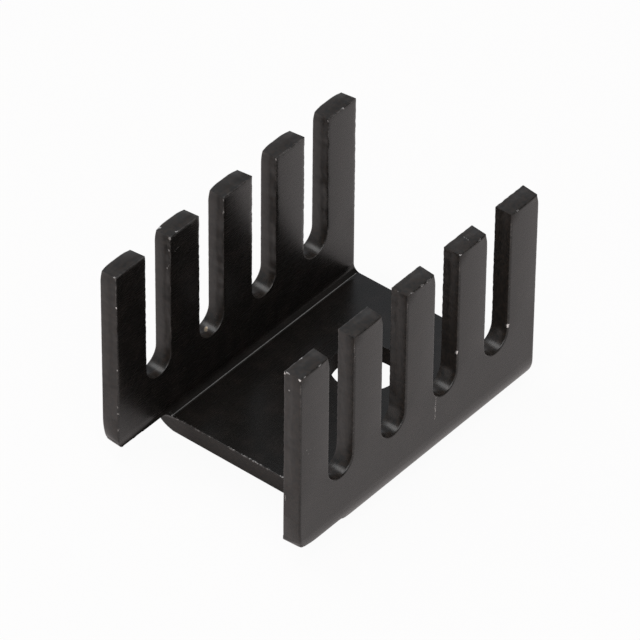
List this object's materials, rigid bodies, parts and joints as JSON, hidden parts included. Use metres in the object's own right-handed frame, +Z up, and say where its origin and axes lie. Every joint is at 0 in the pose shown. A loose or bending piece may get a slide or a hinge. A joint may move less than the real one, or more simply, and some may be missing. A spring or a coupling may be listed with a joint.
{
  "type": "u-channel heat sink",
  "caption": "Small U-channel heat sink folded from black anodised sheet, with slotted walls that form upright fins and a screw hole in the base for a tab-mounted power transistor.",
  "frame": {"origin": "under the middle of the overall box, on the underside of the base", "axes": "+Z up along the fins, +Y along the channel away from the end where the base is cut back, +X across the channel"},
  "size_m": [0.0132, 0.019, 0.0127],
  "materials": {
    "anodised_sheet": "black anodised, satin, with bare specks along sheared edges"
  },
  "bodies": {
    "root": {"heat_sink_channel": "anodised_sheet"}
  },
  "joints": []
}
